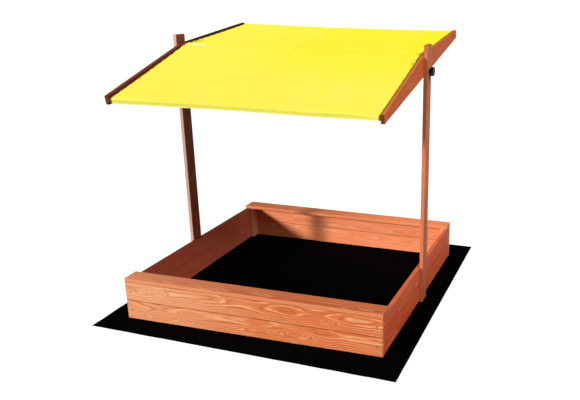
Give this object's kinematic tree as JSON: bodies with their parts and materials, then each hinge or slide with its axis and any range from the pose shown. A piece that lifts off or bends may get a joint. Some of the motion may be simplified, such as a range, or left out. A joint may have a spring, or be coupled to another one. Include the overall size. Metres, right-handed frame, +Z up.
{
  "type": "sandbox with tilting canopy",
  "caption": "Square wooden sandbox of tongue-and-groove boards with two side posts carrying a tilting gabled cloth canopy, on a black ground sheet.",
  "frame": {"origin": "on the ground, in the middle of the box", "axes": "+Z up, +Y to the rear, +X to the right; the canopy tips down towards the front, -Y"},
  "size_m": [1.412, 1.53, 1.2215],
  "materials": {
    "stained_wood": "satin",
    "canopy_cloth": "matte",
    "ground_cloth": "matte",
    "knob_plastic": "satin",
    "zinc": "satin"
  },
  "bodies": {
    "box_and_posts": {"front_cap_board": "stained_wood", "front_cap_screw_left": "zinc", "front_cap_screw_middle": "zinc", "front_cap_screw_right": "zinc", "front_left_batten": "stained_wood", "front_right_batten": "stained_wood", "front_wall_lower_board": "stained_wood", "front_wall_screw_left_lower": "zinc", "front_wall_screw_left_upper": "zinc", "front_wall_screw_right_lower": "zinc", "front_wall_screw_right_upper": "zinc", "front_wall_upper_board": "stained_wood", "ground_sheet": "ground_cloth", "left_post": "stained_wood", "left_post_screw_lower": "zinc", "left_post_screw_upper": "zinc", "left_wall_lower_board": "stained_wood", "left_wall_screw_front_lower": "zinc", "left_wall_screw_front_upper": "zinc", "left_wall_screw_rear_lower": "zinc", "left_wall_screw_rear_upper": "zinc", "left_wall_upper_board": "stained_wood", "rear_cap_board": "stained_wood", "rear_cap_screw_left": "zinc", "rear_cap_screw_middle": "zinc", "rear_cap_screw_right": "zinc", "rear_left_batten": "stained_wood", "rear_right_batten": "stained_wood", "rear_wall_lower_board": "stained_wood", "rear_wall_screw_left_lower": "zinc", "rear_wall_screw_left_upper": "zinc", "rear_wall_screw_right_lower": "zinc", "rear_wall_screw_right_upper": "zinc", "rear_wall_upper_board": "stained_wood", "right_post": "stained_wood", "right_post_screw_lower": "zinc", "right_post_screw_upper": "zinc", "right_wall_lower_board": "stained_wood", "right_wall_screw_front_lower": "zinc", "right_wall_screw_front_upper": "zinc", "right_wall_screw_rear_lower": "zinc", "right_wall_screw_rear_upper": "zinc", "right_wall_upper_board": "stained_wood"},
    "canopy": {"canopy_cloth": "canopy_cloth", "front_bar": "stained_wood", "front_bar_screw_left": "zinc", "front_bar_screw_right": "zinc", "left_cheek_board": "stained_wood", "left_pivot_bolt": "zinc", "rear_bar": "stained_wood", "rear_bar_screw_left": "zinc", "rear_bar_screw_right": "zinc", "ridge_bar": "stained_wood", "ridge_bar_screw_left": "zinc", "ridge_bar_screw_right": "zinc", "right_cheek_board": "stained_wood", "right_pivot_bolt": "zinc"},
    "left_knob": {"left_knob": "knob_plastic"},
    "right_knob": {"right_knob": "knob_plastic"}
  },
  "joints": [
    {"name": "canopy_tilt", "type": "hinge", "parent": "box_and_posts", "child": "canopy", "pos_m": [0, -0.005, 1.0865], "axis": [1, 0, 0], "range_deg": [-56, 34]},
    {"name": "left_knob_turn", "type": "hinge", "parent": "canopy", "child": "left_knob", "pos_m": [-0.63, -0.005, 1.0865], "axis": [-1, 0, 0], "continuous": true},
    {"name": "right_knob_turn", "type": "hinge", "parent": "canopy", "child": "right_knob", "pos_m": [0.63, -0.005, 1.0865], "axis": [1, 0, 0], "continuous": true}
  ]
}
